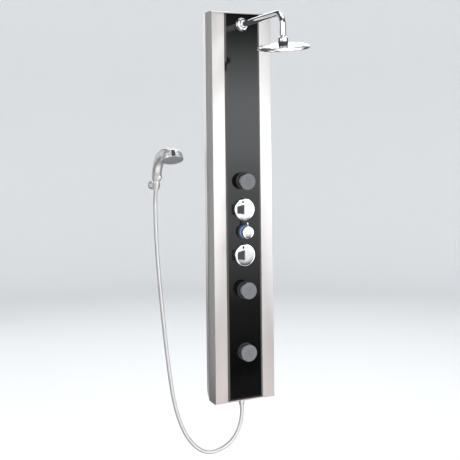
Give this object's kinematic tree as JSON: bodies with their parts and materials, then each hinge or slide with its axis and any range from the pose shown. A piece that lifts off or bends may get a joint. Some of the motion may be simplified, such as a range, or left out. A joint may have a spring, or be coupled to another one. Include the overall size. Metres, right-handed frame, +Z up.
{
  "type": "rainfall shower column",
  "caption": "Wall-hung shower panel with an overhead rain head on an arm, aimable body jets, turning controls and a hand shower on a hose beside it.",
  "frame": {"origin": "middle of the upper wall bracket's back face, on the wall", "axes": "+Z up along the panel, -Y out into the room, +Y into the wall, +X to the right seen from the room"},
  "size_m": [0.5162, 0.4962, 1.695],
  "materials": {
    "brushed_steel": "vertical brushed",
    "black_glass": "polished opaque black glass",
    "zinc": "zinc plated",
    "chrome": "polished",
    "brass": "cast and machined",
    "black_plastic": "satin",
    "jet_plastic": "satin",
    "spray_face": "satin with soft nozzles",
    "blue_band": "gloss",
    "hose": "spiral wound, satin chrome",
    "seal": "matte"
  },
  "bodies": {
    "root": {"column_shell": "brushed_steel", "glass_fascia": "black_glass", "wall_bracket_upper": "zinc", "wall_bracket_lower": "zinc", "hanger_rail_upper": "zinc", "hanger_rail_lower": "zinc", "shower_arm": "chrome", "arm_flange": "chrome", "arm_elbow": "brass", "swivel_ball": "chrome", "valve_body": "brass", "hot_inlet_nut": "brass", "cold_inlet_nut": "brass", "flow_base": "black_plastic", "flow_cartridge": "black_plastic", "diverter_base": "black_plastic", "diverter_cartridge": "black_plastic", "temperature_base": "black_plastic", "temperature_cartridge": "black_plastic", "riser_pipe": "brass", "hand_pipe": "brass", "jet_rail": "brass", "hose_outlet": "chrome", "hose_nut": "chrome", "shower_hose": "hose", "bracket_flange": "chrome", "handset_holder": "chrome", "jet_1_ring": "black_plastic", "jet_1_cup": "black_plastic", "jet_2_ring": "black_plastic", "jet_2_cup": "black_plastic", "jet_3_ring": "black_plastic", "jet_3_cup": "black_plastic"},
    "head_swivel": {"swivel_seal": "seal"},
    "rain_head": {"swivel_nut": "chrome", "swivel_collar": "black_plastic", "head_shell": "chrome", "head_faceplate": "spray_face"},
    "flow_control": {"flow_knob": "chrome", "flow_spindle": "brass"},
    "diverter_control": {"diverter_knob": "chrome", "diverter_spindle": "brass"},
    "temperature_control": {"temperature_knob": "chrome", "temperature_dial": "blue_band", "temperature_pin": "chrome", "temperature_spindle": "brass"},
    "hose_swivel": {"hose_cone": "chrome"},
    "handset": {"handset_body": "chrome", "spray_plate": "spray_face"},
    "spray_ring": {"spray_selector": "chrome"},
    "jet_1_swivel": {"jet_1_seal": "seal"},
    "jet_1": {"jet_1_nozzle": "jet_plastic"},
    "jet_2_swivel": {"jet_2_seal": "seal"},
    "jet_2": {"jet_2_nozzle": "jet_plastic"},
    "jet_3_swivel": {"jet_3_seal": "seal"},
    "jet_3": {"jet_3_nozzle": "jet_plastic"}
  },
  "joints": [
    {"name": "rain_head_turn", "type": "hinge", "parent": "root", "child": "head_swivel", "pos_m": [0, -0.412, 0.008], "axis": [0, 0, 1], "continuous": true},
    {"name": "rain_head_tilt", "type": "hinge", "parent": "head_swivel", "child": "rain_head", "pos_m": [0, -0.412, 0.008], "axis": [0.8139, -0.581, 0], "range_deg": [-28, 1]},
    {"name": "jet_1_pan", "type": "hinge", "parent": "root", "child": "jet_1_swivel", "pos_m": [0, -0.075, -0.5], "axis": [0, 0, 1], "range_deg": [-15, 15]},
    {"name": "jet_1_tilt", "type": "hinge", "parent": "jet_1_swivel", "child": "jet_1", "pos_m": [0, -0.075, -0.5], "axis": [1, 0, 0], "range_deg": [-16, 8]},
    {"name": "jet_2_pan", "type": "hinge", "parent": "root", "child": "jet_2_swivel", "pos_m": [0, -0.075, -0.921], "axis": [0, 0, 1], "range_deg": [-15, 15]},
    {"name": "jet_2_tilt", "type": "hinge", "parent": "jet_2_swivel", "child": "jet_2", "pos_m": [0, -0.075, -0.921], "axis": [1, 0, 0], "range_deg": [-8, 16]},
    {"name": "jet_3_pan", "type": "hinge", "parent": "root", "child": "jet_3_swivel", "pos_m": [0, -0.075, -1.1575], "axis": [0, 0, 1], "range_deg": [-11, 19]},
    {"name": "jet_3_tilt", "type": "hinge", "parent": "jet_3_swivel", "child": "jet_3", "pos_m": [0, -0.075, -1.1575], "axis": [0.9976, -0.0698, 0], "range_deg": [-9, 15]},
    {"name": "flow_turn", "type": "hinge", "parent": "root", "child": "flow_control", "pos_m": [0, -0.08, -0.6105], "axis": [0, -1, 0], "range_deg": [-45, 45]},
    {"name": "temperature_turn", "type": "hinge", "parent": "root", "child": "temperature_control", "pos_m": [0, -0.08, -0.696], "axis": [0, -1, 0], "range_deg": [-150, 120]},
    {"name": "diverter_turn", "type": "hinge", "parent": "root", "child": "diverter_control", "pos_m": [0, -0.08, -0.786], "axis": [0, -1, 0], "range_deg": [-60, 60]},
    {"name": "handset_lift", "type": "slide", "parent": "root", "child": "hose_swivel", "axis": [0, -0.1908, 0.9816], "range_m": [0, 0.08]},
    {"name": "handset_turn", "type": "hinge", "parent": "hose_swivel", "child": "handset", "pos_m": [-0.346, -0.048, -0.509], "axis": [0, -0.1908, 0.9816], "range_deg": [-60, 60]},
    {"name": "spray_select", "type": "hinge", "parent": "handset", "child": "spray_ring", "pos_m": [-0.346, -0.23, -0.411], "axis": [-0.0515, -0.4195, -0.9063], "range_deg": [-30, 30]}
  ]
}
